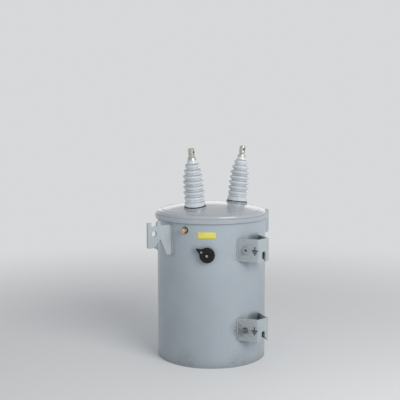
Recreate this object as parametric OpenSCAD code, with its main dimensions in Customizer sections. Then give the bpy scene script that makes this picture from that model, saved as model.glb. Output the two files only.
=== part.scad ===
// Pole mounted distribution transformer: round tank, domed cover and porcelain bushings.
// The tank axis is Z, the floor is Z = 0 and the pole is on the +Y side.

/* [Tank] */
// Outer radius of the tank wall
tank_r = 200; // [180:1:240]
// Thickness of the tank wall
tank_wall = 3; // [2:0.5:5]
// Height of the tank from the floor to the top of its rim
tank_h = 524; // [500:1:700]
// Thickness of the bottom plate
bottom_t = 4; // [3:0.5:8]
// Height of the bottom plate above the floor
bottom_recess = 22; // [10:1:40]
// How far the clamped rim stands out of the wall
rim_out = 5; // [4:0.5:8]
// Thickness of the clamped rim
rim_t = 4; // [3:0.5:6]
// Radial play between the bottom plate and the wall
bottom_play = 0.2; // [0.1:0.1:0.5]

/* [Core and coils] */
// Height of the core
core_h = 300; // [260:1:340]
// Depth of the core
core_d = 142; // [110:1:160]
// Width of each leg of the core
core_leg = 40; // [32:1:48]
// Width of the coil
coil_w = 172; // [150:1:190]
// Depth of the coil
coil_d = 196; // [170:1:220]
// Rounding of the coil's corners
coil_round = 28; // [15:1:35]
// Play between the coil and the core's middle leg and yokes
coil_play = 1; // [0.5:0.1:2]
// How far the coil's sides press into the outer legs
coil_press = 1; // [0.5:0.1:2]

/* [Cover] */
// Thickness of the cover sheet
cover_t = 3; // [2:0.5:4]
// Thickness of the gasket under the cover
gasket_t = 3; // [2:0.5:5]
// Height of the straight skirt above the gasket
skirt_h = 10; // [8:1:20]
// How far the cover flange stands out of the skirt
flange_out = 3; // [2:0.5:5]
// Radius of the rounded shoulder
shoulder_r = 10; // [6:1:20]
// Rise of the dome above the shoulder
crown = 26; // [15:1:45]
// Radius of the circle that the stiffening bead follows
bead_ring_r = 180; // [150:1:190]
// Radius of the stiffening bead itself
bead_r = 6; // [4:0.5:9]
// How far the bead stands out of the dome
bead_out = 1.4; // [0.5:0.1:3]

/* [Clamp band] */
// Thickness of the band
band_t = 2.5; // [2:0.5:4]
// Gap between the band and the two rims that it clamps
band_play = 0.3; // [0.2:0.1:0.6]
// Rounding of the band's outer edges
band_round = 2; // [1:0.25:2]
// Opening between the two ends of the band
band_gap = 26; // [16:1:40]
// Direction of the band's closing bolt
band_bolt_turn = 207; // [190:1:230]
// Radius of the closing bolt's shank
band_bolt_r = 4; // [3:0.5:6]
// Height and depth of the ears that the closing bolt pulls together
ear_size = 16; // [12:1:22]

/* [High voltage bushings] */
// Distance of each bushing from the middle of the cover, as a share of the tank's radius
hv_share = 0.552; // [0.5:0.002:0.6]
// Angle by which both bushings stand nearer to the pole than the tank's widest line
hv_turn = 14; // [0:1:25]
// Radius of the raised seat in the cover
hv_seat_r = 41; // [39.5:0.5:46]
// Height of the raised seat above the dome
hv_seat_h = 3; // [2:0.5:8]
// Angle by which each bushing leans outwards
hv_lean = 7; // [5:0.5:10]
// Thickness of the bushing gasket
hv_gasket_t = 3; // [2:0.5:5]
// Radius of the hole in the cover
hv_hole_r = 25; // [24:0.5:28]
// Radius of the porcelain base
hv_base_r = 37.5; // [36:0.5:38]
// Thickness of the porcelain base
hv_base_t = 10; // [6:1:16]
// Radius of the shank inside the tank
hv_shank_r = 23; // [18:0.5:23.5]
// Length of the shank inside the tank
hv_shank_l = 70; // [40:1:120]
// Number of sheds, the two lowest of them shallow ones on the foot
shed_count = 8; // [6:1:11]
// Distance from one shed to the next
shed_pitch = 18.8; // [16:0.2:22]
// Radius of the lowest shed
shed_r_low = 37; // [36:0.5:40]
// Radius of the highest shed
shed_r_high = 23.5; // [22:0.5:30]
// Radius of the thick foot below the deeper sheds
foot_r = 34; // [32:0.5:35]
// Radius of the porcelain core above the foot
core_r_low = 28; // [26:0.5:30]
// Radius of the porcelain core at the top
core_r_high = 17; // [16:0.5:18]
// How late the bushing narrows towards its top
taper_power = 2.4; // [1:0.1:3]
// Radius of a shed's rounded lip
shed_lip = 3; // [2:0.1:3.5]
// Radius of the metal cap
hv_cap_r = 16; // [12:0.5:18]
// Height of the metal cap
hv_cap_h = 9; // [6:1:14]
// Radius of the terminal stud
hv_stud_r = 6; // [4:0.5:7]
// Length of the stud above the cap
hv_stud_l = 34; // [32:1:44]
// Radius of the cable hole in the terminal
hv_cable_r = 5; // [3:0.25:5.5]

/* [Low voltage bushings] */
// Angle between neighbouring bushings
lv_step = 20; // [18:0.5:26]
// Distance from the rim down to the row
lv_drop = 134; // [110:1:170]
// Radius of the flat seat welded to the tank
lv_seat_r = 24; // [22:0.5:27]
// Radius of the hole in the tank wall
lv_hole_r = 15; // [13:0.5:16]
// Radius of the porcelain flange
lv_flange_r = 21; // [18:0.5:22]
// Thickness of the porcelain flange
lv_flange_t = 7; // [5:0.5:12]
// Radius of the porcelain nose
lv_nose_r = 16; // [14:0.5:17]
// Length of the porcelain nose
lv_nose_l = 22; // [20:1:40]
// Radius of the shank inside the tank
lv_shank_r = 13.5; // [10:0.5:13.8]
// Length of the shank inside the tank
lv_shank_l = 34; // [20:1:50]
// Thickness of the gasket
lv_gasket_t = 3; // [2:0.5:4]
// Radius of the terminal's barrel
lv_barrel_r = 11.5; // [11:0.5:13]
// Length of the terminal's barrel
lv_barrel_l = 20; // [18:1:34]
// Radius of the cable hole in the terminal
lv_cable_r = 6.5; // [4:0.25:8]

/* [Pole brackets] */
// Distance between the bolt seats of the upper and the lower bracket
slot_spacing = 285.75; // [260:0.25:360]
// Distance from the rim down to the bolt seat of the upper bracket
slot_drop = 112.5; // [108:0.5:150]
// Width of the bolt slots
slot_w = 17.5; // [14:0.5:20]
// Height of both brackets
bracket_h = 81; // [72:1:110]
// Height of the upper bolt seat above the lower edge of its bracket
upper_slot_rise = 28; // [22:1:40]
// Height of the lower bolt seat above the lower edge of its bracket
lower_slot_rise = 28; // [26:1:46]
// Height of the flared mouth below the upper bolt slot
upper_mouth = 2; // [1:0.5:14]
// Height of the flared mouth below the lower bolt slot
lower_mouth = 14; // [1:0.5:14]
// Thickness of the bracket plate
bracket_t = 6; // [4:0.5:8]
// Distance from the tank wall to the face that meets the pole
bracket_reach = 64; // [50:1:90]
// Width of the face that meets the pole
bracket_face_w = 54; // [46:1:64]
// Width of the bracket where its legs meet the tank
bracket_base_w = 115; // [90:1:130]
// Bend radius of the bracket plate
bracket_bend = 8; // [7:1:14]

/* [Lifting lugs] */
// Direction of the first lug, the second one is opposite
lug_turn = -3; // [-10:0.5:4]
// Distance from the tank wall to the lug's outer edge
lug_reach = 96; // [84:1:110]
// Distance from the tank wall to the bend of the lug
lug_bend_x = 43; // [34:1:50]
// Sideways distance from the outer part of the lug to the foot that is welded to the tank
lug_foot_y = 11; // [0:0.5:30]
// Thickness of the lug plate
lug_t = 8; // [6:0.5:12]
// Distance from the rim down to the leg's upper edge
lug_top_drop = 16; // [14:1:40]
// Height of the lug at the tank wall
lug_leg_h = 107; // [96:1:130]
// Height of the horns above the leg's upper edge
horn_h = 13; // [8:1:20]
// Width of both horns
horn_w = 15; // [12:1:18]
// Height of the tongue's lower edge above the leg's lower edge
tongue_rise = 29; // [20:1:40]
// Radius of the hole in the lug
lug_hole_r = 10.5; // [8:0.5:12]
// Distance from the leg's upper edge down to the hole
lug_hole_drop = 28; // [24:1:34]
// Distance from the hole to the lug's outer edge
lug_hole_edge = 28; // [24:1:32]

/* [Tap changer] */
// Direction of the tap changer
tap_turn = 42; // [34:1:48]
// Distance from the rim down to the tap changer
tap_drop = 113.5; // [100:0.5:125]
// Radius of the seat welded to the tank
tap_seat_r = 21; // [19:0.5:24]
// Radius of the fixed flange
tap_flange_r = 19; // [17:0.5:19]
// Thickness of the fixed flange
tap_flange_t = 6; // [5:0.5:10]
// Radius of the shaft
tap_shaft_r = 6; // [5:0.5:8]
// Play round the shaft
shaft_play = 0.06; // [0.04:0.01:0.09]
// Length of the shaft behind the handle
tap_shaft_l = 30; // [24:1:50]
// Gap between the handle and the fixed flange
handle_gap = 0.6; // [0.3:0.1:2]
// Radius of the round handle
handle_r = 27; // [24:0.5:30]
// Thickness of the handle
handle_t = 13; // [10:0.5:18]
// Distance from the shaft to the pointer's tip
pointer_l = 45; // [38:1:52]
// Radius of the pointer's rounded tip
pointer_tip_r = 2; // [1.5:0.5:4]
// Width of the pointer where it leaves the round handle
pointer_w = 19; // [14:1:30]
// Radius of the hub in front of the handle
hub_r = 8; // [7:0.5:12]
// Height of the hub above the handle
hub_h = 8; // [4:0.5:12]
// Angle of the pointer, from the right hand side as seen from outside
pointer_turn = 150; // [120:1:165]

/* [Relief valve] */
// Direction of the relief valve
valve_turn = 19; // [12:1:24]
// Distance from the rim down to the valve
valve_drop = 30; // [26:1:40]
// Radius of the seat welded to the tank
valve_seat_r = 12.5; // [12:0.5:16]
// Width of the valve's hexagon across its corners
valve_hex_w = 21; // [20:0.5:23]
// Thickness of the hexagon
valve_hex_t = 8; // [6:0.5:12]
// Radius of the valve's barrel
valve_body_r = 8; // [7.5:0.5:9]
// Length of the valve's barrel
valve_body_l = 14; // [12:1:26]
// Radius of the pulling stem
valve_stem_r = 2.5; // [2:0.25:3.5]
// Play round the stem
stem_play = 0.06; // [0.04:0.01:0.09]
// Radius of the pull ring
pull_ring_r = 6; // [5.5:0.5:9]
// Radius of the pull ring's wire
pull_wire_r = 1.2; // [1.1:0.1:1.5]

/* [Earthing] */
// Radius of the earthing bosses
boss_r = 11; // [10:0.5:12]
// Height of the earthing bosses
boss_h = 7; // [5:0.5:10]
// Radius of the threaded hole in a boss
boss_hole_r = 5.25; // [4:0.25:6]
// Distance from the rim down to the boss on the low voltage side
tank_boss_drop = 200; // [180:1:260]
// Width of the earthing bolt's head across its corners
earth_bolt_w = 22; // [18:0.5:24]

/* [Hidden] */
$fn = 96;
eps = 0.01;
through = 40;
pole_turn = 90;
lv_turn = 270;
seat_stand = 3;
valve_stand = 2;

// Cover: outline values that the dome, its bead and the bushing seats share
cover_z = tank_h + gasket_t;
rim_r = tank_r + rim_out;
skirt_r = rim_r - flange_out;
shoulder_z = cover_z + skirt_h;
shoulder_mid = skirt_r - shoulder_r;
dome_r = (pow(shoulder_mid, 2) + pow(crown, 2) + 2 * shoulder_r * crown) / (2 * crown);
dome_z = shoulder_z + shoulder_r + crown - dome_r;
hv_x = hv_share * tank_r;
hv_z = dome_z + sqrt(pow(dome_r, 2) - pow(hv_x, 2));

// Band: a channel that grips the tank rim and the cover flange together
band_in = rim_r + band_play;
band_out = band_in + band_t;
grip_low = tank_h - rim_t - band_play;
grip_high = cover_z + cover_t + band_play;

// Bushing: heights above its gasket
hv_foot = hv_seat_h + hv_gasket_t;
shed_first = hv_base_t + shed_pitch * 0.4;
shed_last = shed_first + (shed_count - 1) * shed_pitch;
core_top = shed_last + shed_pitch * 0.85;

// Share by which the bushing has narrowed at a shed
function narrowed(i) = pow(i / (shed_count - 1), taper_power);

function core_at(i) = core_r_low + (core_r_high - core_r_low) * narrowed(i);

function shed_at(i) = shed_r_low + (shed_r_high - shed_r_low) * narrowed(i);

// Brackets: heights of their bolt seats and lower edges
upper_slot_z = tank_h - slot_drop;
lower_slot_z = upper_slot_z - slot_spacing;
upper_bracket_z = upper_slot_z - upper_slot_rise;
lower_bracket_z = lower_slot_z - lower_slot_rise;
bracket_face = tank_r + bracket_reach;

// Lug: its outer edge, its bend and the heights of its edges
lug_edge = tank_r + lug_reach;
lug_bend = tank_r + lug_bend_x;
lug_top = tank_h - lug_top_drop;
lug_low = lug_top - lug_leg_h;
lug_hole_x = lug_edge - lug_hole_edge;

// Wall seats stand a little out of the round wall, so that their faces are flat
lv_seat_x = tank_r + seat_stand;
tap_seat_x = tank_r + seat_stand;
valve_seat_x = tank_r + valve_stand;
handle_back = tap_seat_x + tap_flange_t + handle_gap;
lock_x = handle_r - 4;
lock_r = 3.5;
lock_depth = 4;
valve_tip = valve_seat_x + valve_hex_t + valve_body_l;

// Colours
enamel = [0.62, 0.66, 0.68];
bright_enamel = [0.74, 0.77, 0.78];
porcelain = [0.80, 0.83, 0.84];
dark_rubber = [0.12, 0.13, 0.13];
zinc = [0.66, 0.67, 0.68];
brass_colour = [0.70, 0.56, 0.30];
dark_plastic = [0.06, 0.07, 0.08];
tinned = [0.72, 0.72, 0.70];
core_colour = [0.30, 0.22, 0.15];

// Places children with their X axis pointing out of the tank at an angle and height
module on_wall(turn, z) {
    rotate([0, 0, turn]) translate([0, 0, z]) children();
}

// Turns what is drawn along Z so that it runs outwards along X, starting at a distance
module outwards(x) {
    translate([x, 0, 0]) rotate([0, 90, 0]) children();
}

// Places children on the dome at a bushing, leaning outwards: side is -1 on the left and 1 on the right
module on_dome(side) {
    rotate([0, 0, side > 0 ? hv_turn : 180 - hv_turn])
        translate([hv_x, 0, hv_z])
            rotate([0, hv_lean, 0])
                children();
}

module ring(outer_r, inner_r, h) {
    difference() {
        cylinder(r = outer_r, h = h);
        translate([0, 0, -1]) cylinder(r = inner_r, h = h + 2);
    }
}

module hexagon(across_corners, h) {
    cylinder(d = across_corners, h = h, $fn = 6);
}

// Tank
module tank_wall() {
    color(enamel) difference() {
        union() {
            cylinder(r = tank_r, h = tank_h);
            translate([0, 0, tank_h - rim_t]) cylinder(r = rim_r, h = rim_t);
            for (i = [-1:1]) on_wall(lv_turn + i * lv_step, tank_h - lv_drop)
                outwards(tank_r - through) cylinder(r = lv_seat_r, h = lv_seat_x - tank_r + through);
            on_wall(tap_turn, tank_h - tap_drop)
                outwards(tank_r - through) cylinder(r = tap_seat_r, h = tap_seat_x - tank_r + through);
            on_wall(valve_turn, tank_h - valve_drop)
                outwards(tank_r - through) cylinder(r = valve_seat_r, h = valve_seat_x - tank_r + through);
        }
        translate([0, 0, -1]) cylinder(r = tank_r - tank_wall, h = tank_h + 2);
        for (i = [-1:1]) on_wall(lv_turn + i * lv_step, tank_h - lv_drop)
            outwards(tank_r - through) cylinder(r = lv_hole_r, h = 2 * through);
        on_wall(tap_turn, tank_h - tap_drop)
            outwards(tank_r - through) cylinder(r = tap_shaft_r + 2, h = 2 * through);
        on_wall(valve_turn, tank_h - valve_drop)
            outwards(tank_r - through) cylinder(r = valve_stem_r + 2, h = 2 * through);
    }
}

module tank_bottom() {
    color(enamel) translate([0, 0, bottom_recess])
        cylinder(r = tank_r - tank_wall - bottom_play, h = bottom_t);
}

// Core and coils stand on the bottom plate: a coil on the middle leg of a core with two windows
module core_and_coils() {
    window_w = (coil_w - core_leg) / 2 - coil_press;
    window_h = core_h - 2 * core_leg;
    color(core_colour) translate([0, 0, bottom_recess + bottom_t]) {
        rotate([90, 0, 0]) linear_extrude(core_d, center = true) difference() {
            translate([-1.5 * core_leg - window_w, 0]) square([3 * core_leg + 2 * window_w, core_h]);
            translate([core_leg / 2, core_leg]) square([window_w, window_h]);
            translate([-core_leg / 2 - window_w, core_leg]) square([window_w, window_h]);
        }
        translate([0, 0, core_leg + coil_play]) linear_extrude(window_h - 2 * coil_play) difference() {
            rounded_plan(coil_w, coil_d, coil_round);
            square([core_leg + 2 * coil_play, core_d + 2 * coil_play], center = true);
        }
    }
}

module rounded_plan(w, d, corner) {
    square([w - 2 * corner, d], center = true);
    square([w, d - 2 * corner], center = true);
    for (x = [-1, 1]) for (y = [-1, 1])
        translate([x * (w / 2 - corner), y * (d / 2 - corner)]) circle(r = corner);
}

// Cover
module cover_gasket() {
    color(dark_rubber) translate([0, 0, tank_h]) ring(rim_r - 1, tank_r - tank_wall, gasket_t);
}

// Half outline of the cover, drawn inwards by a distance
module cover_outline(inset) {
    dome = dome_r - inset;
    edge = shoulder_r - inset;
    meet = shoulder_mid * dome / (dome - edge);
    bottom = inset > 0 ? cover_z - 1 : cover_z;
    intersection() {
        translate([0, dome_z]) circle(r = dome, $fn = 720);
        translate([0, bottom]) square([meet, dome_z + dome_r - bottom]);
    }
    translate([shoulder_mid, shoulder_z]) circle(r = edge);
    translate([0, bottom]) square([skirt_r - inset, shoulder_z - bottom]);
}

module cover() {
    bead_z = dome_z + sqrt(pow(dome_r, 2) - pow(bead_ring_r, 2));
    color(enamel) difference() {
        union() {
            rotate_extrude() difference() {
                cover_outline(0);
                cover_outline(cover_t);
            }
            translate([0, 0, cover_z]) ring(rim_r, skirt_r - cover_t, cover_t);
            rotate_extrude() intersection() {
                translate([bead_ring_r, bead_z - bead_r + bead_out]) circle(r = bead_r);
                difference() {
                    translate([0, bead_z - bead_r]) square([rim_r, 2 * bead_r]);
                    translate([0, dome_z]) circle(r = dome_r - cover_t / 2, $fn = 720);
                }
            }
            for (side = [-1, 1]) on_dome(side)
                translate([0, 0, -cover_t]) cylinder(r = hv_seat_r, h = hv_seat_h + cover_t);
        }
        for (side = [-1, 1]) on_dome(side)
            translate([0, 0, -through]) cylinder(r = hv_hole_r, h = 2 * through);
    }
}

// Half section of the clamp band: a channel with rounded outer corners
module band_section() {
    low = grip_low - band_t;
    high = grip_high + band_t;
    difference() {
        union() {
            translate([tank_r + 1, low]) square([band_out - band_round - tank_r - 1, high - low]);
            translate([band_in, low + band_round]) square([band_t, high - low - 2 * band_round]);
            for (z = [low + band_round, high - band_round])
                translate([band_out - band_round, z]) circle(r = band_round, $fn = 48);
        }
        translate([tank_r, grip_low]) square([band_in - tank_r, grip_high - grip_low]);
        translate([tank_r, grip_high]) square([skirt_r + band_play - tank_r, high]);
    }
}

module clamp_band() {
    half_gap = asin(band_gap / 2 / band_out);
    mid = (grip_low + grip_high) / 2;
    color(enamel) rotate([0, 0, band_bolt_turn]) {
        rotate([0, 0, half_gap]) rotate_extrude(angle = 360 - 2 * half_gap) band_section();
        for (side = [-1, 1]) mirror([0, side < 0 ? 1 : 0, 0]) difference() {
            translate([band_in, band_gap / 2, mid - ear_size / 2])
                cube([ear_size + band_t, 2 * band_t, ear_size]);
            translate([band_out + ear_size / 2, 0, mid])
                rotate([-90, 0, 0]) cylinder(r = band_bolt_r + 0.5, h = band_gap);
        }
    }
}

module band_bolt() {
    reach = band_gap / 2 + 2 * band_t;
    color(zinc) rotate([0, 0, band_bolt_turn])
        translate([band_out + ear_size / 2, 0, (grip_low + grip_high) / 2]) rotate([90, 0, 0]) {
            translate([0, 0, -reach - 18]) cylinder(r = band_bolt_r, h = 2 * reach + 18);
            translate([0, 0, reach]) hexagon(4 * band_bolt_r, 6);
            translate([0, 0, -reach - 7]) hexagon(4 * band_bolt_r, 7);
        }
}

// High voltage bushing
module shed(core, reach) {
    polygon([
        [core - 2, -shed_pitch * 0.14], [reach - shed_lip, -shed_lip],
        [reach - shed_lip * 0.5, shed_lip * 0.86], [core + (reach - core) * 0.38, shed_pitch * 0.42],
        [core - 2, shed_pitch * 0.7]
    ]);
    translate([reach - shed_lip, 0]) circle(r = shed_lip, $fn = 32);
}

module hv_bushing(side) {
    foot_top = shed_first + shed_pitch * 1.4;
    color(porcelain) on_dome(side) translate([0, 0, hv_foot]) rotate_extrude() {
        polygon(concat(
            [[0, 0], [hv_base_r - 1.5, 0], [hv_base_r, 1.5], [hv_base_r, hv_base_t - 2]],
            [[foot_r, hv_base_t + 1], [foot_r, foot_top - shed_pitch * 0.4], [core_r_low, foot_top]],
            [for (i = [2:shed_count - 1]) [core_at(i), shed_first + i * shed_pitch]],
            [[core_r_high - 1, core_top], [0, core_top]]
        ));
        translate([0, -hv_shank_l]) square([hv_shank_r, hv_shank_l + eps]);
        for (i = [0:shed_count - 1]) translate([0, shed_first + i * shed_pitch])
            shed(i < 2 ? foot_r : core_at(i), shed_at(i));
    }
}

module hv_gasket(side) {
    color(dark_rubber) on_dome(side) translate([0, 0, hv_seat_h])
        ring(hv_base_r + 1, hv_hole_r, hv_gasket_t);
}

module hv_terminal(side) {
    nut_h = 8;
    clamp_r = 2 * hv_cable_r + 1;
    clamp_h = hv_stud_l - nut_h - 2;
    color(tinned) on_dome(side) translate([0, 0, hv_foot + core_top]) difference() {
        union() {
            cylinder(r1 = hv_cap_r, r2 = hv_cap_r - 2, h = hv_cap_h);
            translate([0, 0, hv_cap_h]) hexagon(4 * hv_stud_r - 2, nut_h);
            translate([0, 0, hv_cap_h]) cylinder(r = hv_stud_r, h = hv_stud_l);
            translate([0, 0, hv_cap_h + nut_h]) cylinder(r = clamp_r, h = clamp_h);
        }
        translate([0, 0, hv_cap_h + nut_h + clamp_h / 2]) rotate([90, 0, 0])
            cylinder(r = hv_cable_r, h = 2 * through, center = true);
    }
}

// Low voltage bushing, numbered from the left hand side as seen from outside
module lv_bushing(i) {
    color(porcelain) on_wall(lv_turn + (i - 2) * lv_step, tank_h - lv_drop)
        outwards(lv_seat_x + lv_gasket_t) rotate_extrude() polygon([
            [0, -lv_shank_l - lv_gasket_t], [lv_shank_r, -lv_shank_l - lv_gasket_t], [lv_shank_r, 0],
            [lv_flange_r, 0], [lv_flange_r, lv_flange_t - 2], [lv_flange_r - 2, lv_flange_t],
            [lv_nose_r, lv_flange_t + 1], [lv_nose_r, lv_flange_t + lv_nose_l * 0.3],
            [lv_flange_r - 1, lv_flange_t + lv_nose_l * 0.42],
            [lv_flange_r - 1, lv_flange_t + lv_nose_l * 0.55],
            [lv_nose_r - 1, lv_flange_t + lv_nose_l * 0.7], [lv_nose_r - 2, lv_flange_t + lv_nose_l],
            [0, lv_flange_t + lv_nose_l]
        ]);
}

module lv_gaskets() {
    color(dark_rubber) for (i = [-1:1]) on_wall(lv_turn + i * lv_step, tank_h - lv_drop)
        outwards(lv_seat_x) ring(lv_flange_r + 1, lv_hole_r, lv_gasket_t);
}

module lv_terminal(i) {
    start = lv_seat_x + lv_gasket_t + lv_flange_t + lv_nose_l;
    nut_t = 5;
    color(tinned) on_wall(lv_turn + (i - 2) * lv_step, tank_h - lv_drop) difference() {
        union() {
            outwards(start) hexagon(2 * lv_barrel_r - 1, nut_t);
            outwards(start + nut_t) cylinder(r = lv_barrel_r, h = lv_barrel_l);
            outwards(start + nut_t + lv_barrel_l) hexagon(lv_barrel_r + 4, nut_t);
        }
        translate([start + nut_t + lv_barrel_l / 2, 0, 0])
            cylinder(r = lv_cable_r, h = 2 * through, center = true);
    }
}

// Points of an arc in the plane
function arc(x, y, r, from, to, steps = 6) =
    [for (i = [0:steps]) let (a = from + (to - from) * i / steps) [x + r * cos(a), y + r * sin(a)]];

// Plan of a plate bent into a hat: face towards +X, both legs run back to the round wall
module hat_plan(face_x, face_w, base_w, plate_t, bend) {
    base_x = sqrt(pow(tank_r, 2) - pow(base_w / 2, 2));
    lean = atan2((base_w - face_w) / 2, face_x - base_x);
    back = through / 2;
    difference() {
        hat_shape(face_x, face_w / 2, base_x - back, base_w / 2 + back * tan(lean), lean, bend);
        hat_shape(
            face_x - plate_t,
            face_w / 2 - plate_t * tan((90 - lean) / 2),
            base_x - back - 1,
            base_w / 2 + (back + 1) * tan(lean) - plate_t / cos(lean),
            lean,
            max(bend - plate_t, 0.5)
        );
    }
}

// Closed outline of a hat with rounded outer corners
module hat_shape(face_x, face_half, base_x, base_half, lean, bend) {
    turn = 90 - lean;
    cut = bend * tan(turn / 2);
    polygon(concat(
        [[base_x, -base_half]],
        arc(face_x - bend, -face_half + cut, bend, -turn, 0),
        arc(face_x - bend, face_half - cut, bend, 0, turn),
        [[base_x, base_half]]
    ));
}

// Pole bracket: its bolt slot is open at the bottom and widens to a mouth there
module pole_bracket(z, rise, mouth) {
    slot_r = slot_w / 2;
    mouth_r = slot_r + mouth + 1;
    color(bright_enamel) rotate([0, 0, pole_turn]) difference() {
        translate([0, 0, z]) linear_extrude(bracket_h)
            hat_plan(bracket_face, bracket_face_w, bracket_base_w, bracket_t, bracket_bend);
        cylinder(r = tank_r, h = tank_h, $fn = 360);
        translate([bracket_face - bracket_t - 1, 0, z + rise]) {
            rotate([0, 90, 0]) cylinder(r = slot_r, h = bracket_t + 2);
            translate([0, -slot_r, -rise - 1]) cube([bracket_t + 2, slot_w, rise + 1]);
        }
        translate([bracket_face + 1, 0, z - 1]) rotate([90, 0, -90]) linear_extrude(bracket_t + 2)
            polygon([[-mouth_r, 0], [mouth_r, 0], [slot_r, mouth + 1], [-slot_r, mouth + 1]]);
    }
}

module upper_pole_bracket() {
    pole_bracket(upper_bracket_z, upper_slot_rise, upper_mouth);
}

module lower_pole_bracket() {
    pole_bracket(lower_bracket_z, lower_slot_rise, lower_mouth);
}

// Side view of the lifting lug: horns and sling seat above, a notch between leg and tongue below
module lug_side() {
    tongue = lug_low + tongue_rise;
    tip = 3;
    seat_in = lug_bend + horn_w - 2;
    seat_out = lug_edge - horn_w;
    horn = lug_top + horn_h - tip;
    polygon(concat(
        [[tank_r - through, lug_low], [tank_r + lug_bend_x * 0.42, lug_low]],
        arc(lug_bend, lug_low + lug_leg_h * 0.5, tip, 160, 20, 4),
        [[lug_edge - lug_reach * 0.3, tongue + 3], [lug_edge - lug_reach * 0.27, tongue]],
        arc(lug_edge - 7, tongue + 7, 7, -90, 0, 4),
        arc(lug_edge - tip, horn, tip, 0, 90, 4),
        arc(seat_out + tip, horn, tip, 90, 180, 4),
        arc(seat_out - tip, lug_top + 1, tip, 0, -90, 4),
        arc(seat_in + tip, lug_top + 1, tip, -90, -180, 4),
        arc(seat_in - tip, horn, tip, 0, 90, 4),
        arc(seat_in - horn_w + tip, horn, tip, 90, 180, 4),
        [[seat_in - horn_w, lug_top], [tank_r - through, lug_top]]
    ));
}

// Plan of the lug: the outer part runs straight outwards, the leg slants to its foot on the wall
module lug_plan() {
    foot_x = sqrt(pow(tank_r, 2) - pow(lug_foot_y, 2));
    slant = atan2(lug_foot_y, lug_bend - foot_x);
    translate([lug_bend, -lug_t / 2]) square([lug_edge - lug_bend, lug_t]);
    translate([lug_bend, 0]) circle(r = lug_t / 2);
    translate([lug_bend, 0]) rotate(180 - slant)
        translate([0, -lug_t / 2]) square([lug_bend_x + through, lug_t]);
}

module lifting_lug(turn) {
    color(bright_enamel) rotate([0, 0, turn]) difference() {
        intersection() {
            linear_extrude(tank_h + 2 * horn_h) lug_plan();
            translate([0, 2 * through, 0]) rotate([90, 0, 0]) linear_extrude(4 * through) lug_side();
        }
        cylinder(r = tank_r, h = tank_h, $fn = 360);
        translate([lug_hole_x, 0, lug_top - lug_hole_drop]) rotate([90, 0, 0])
            cylinder(r = lug_hole_r, h = 4 * lug_t, center = true);
    }
}

// Tap changer: fixed flange on its seat, turning handle with a pointer, and the handle's screws
module tap_flange() {
    bore = tap_shaft_r + shaft_play;
    color(dark_plastic) on_wall(tap_turn, tank_h - tap_drop) outwards(tap_seat_x)
        ring(tap_flange_r, bore, tap_flange_t);
}

module handle_plan() {
    reach = pointer_l - pointer_tip_r;
    root = sqrt(pow(handle_r, 2) - pow(pointer_w / 2, 2));
    slope = atan2(pointer_w / 2 - pointer_tip_r, reach - root);
    side = pointer_tip_r * [sin(slope), cos(slope)];
    circle(r = handle_r);
    translate([reach, 0]) circle(r = pointer_tip_r, $fn = 32);
    polygon([
        [0, 0], [root, -pointer_w / 2],
        [reach + side.x, -side.y], [reach + side.x, side.y],
        [root, pointer_w / 2]
    ]);
}

// Local X of the handle is up, and Y is to the right of someone who looks at the tank
module on_handle(x) {
    on_wall(tap_turn, tank_h - tap_drop) translate([x, 0, 0]) rotate([90, 0, 90])
        rotate([0, 0, pointer_turn]) children();
}

module tap_handle() {
    bevel = 3;
    behind = handle_gap + tap_flange_t + tap_shaft_l;
    color(dark_plastic) on_handle(handle_back) difference() {
        union() {
            linear_extrude(handle_t - bevel) handle_plan();
            translate([0, 0, handle_t - bevel]) cylinder(r1 = handle_r, r2 = handle_r - bevel, h = bevel);
            translate([0, 0, handle_t - eps]) cylinder(r1 = hub_r, r2 = hub_r - 1, h = hub_h + eps);
            translate([0, 0, -behind]) cylinder(r = tap_shaft_r, h = behind + eps);
        }
        translate([lock_x, 0, handle_t - lock_depth]) cylinder(r = lock_r, h = handle_t);
    }
}

module tap_screws() {
    color(zinc) on_handle(handle_back) {
        translate([0, 0, handle_t + hub_h]) cylinder(r = 4, h = 2);
        translate([lock_x, 0, handle_t - lock_depth]) cylinder(r = lock_r - 0.2, h = lock_depth + 1);
    }
}

// Relief valve: hexagon and barrel, with a stem and a pull ring that lift the valve
module relief_valve_body() {
    bore = valve_stem_r + stem_play;
    color(brass_colour) on_wall(valve_turn, tank_h - valve_drop) difference() {
        union() {
            outwards(valve_seat_x) hexagon(valve_hex_w, valve_hex_t);
            outwards(valve_seat_x + valve_hex_t) cylinder(r = valve_body_r, h = valve_body_l - 2);
            outwards(valve_tip - 2) cylinder(r1 = valve_body_r, r2 = valve_body_r - 2, h = 2);
        }
        outwards(tank_r) cylinder(r = bore, h = 2 * through);
    }
}

module relief_valve_stem() {
    out = 5;
    color(brass_colour) on_wall(valve_turn, tank_h - valve_drop) {
        outwards(tank_r - 6) cylinder(r = valve_stem_r, h = valve_tip + out - tank_r + 6);
        outwards(valve_tip + 0.6) cylinder(r = valve_body_r - 3, h = 1.4);
        translate([valve_tip + out - 2, 0, -pull_ring_r]) rotate([0, 90, 0])
            rotate_extrude() translate([pull_ring_r, 0]) circle(r = pull_wire_r, $fn = 24);
    }
}

// Earthing bosses on one leg of each bracket, and one on the low voltage side
module on_bracket_leg(z) {
    base_x = sqrt(pow(tank_r, 2) - pow(bracket_base_w / 2, 2));
    lean = atan2((bracket_base_w - bracket_face_w) / 2, bracket_face - base_x);
    along = (bracket_face - base_x) / cos(lean) * 0.42;
    rotate([0, 0, pole_turn]) translate([base_x, -bracket_base_w / 2, z]) rotate([0, 0, lean])
        translate([along, 0, 0]) rotate([90, 0, 0]) children();
}

module earth_boss() {
    difference() {
        cylinder(r = boss_r, h = boss_h);
        translate([0, 0, 1]) cylinder(r = boss_hole_r, h = boss_h);
    }
}

module earth_boss_upper() {
    color(enamel) on_bracket_leg(upper_bracket_z + bracket_h / 2) earth_boss();
}

module earth_boss_lower() {
    color(enamel) on_bracket_leg(lower_bracket_z + bracket_h / 2) earth_boss();
}

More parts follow.
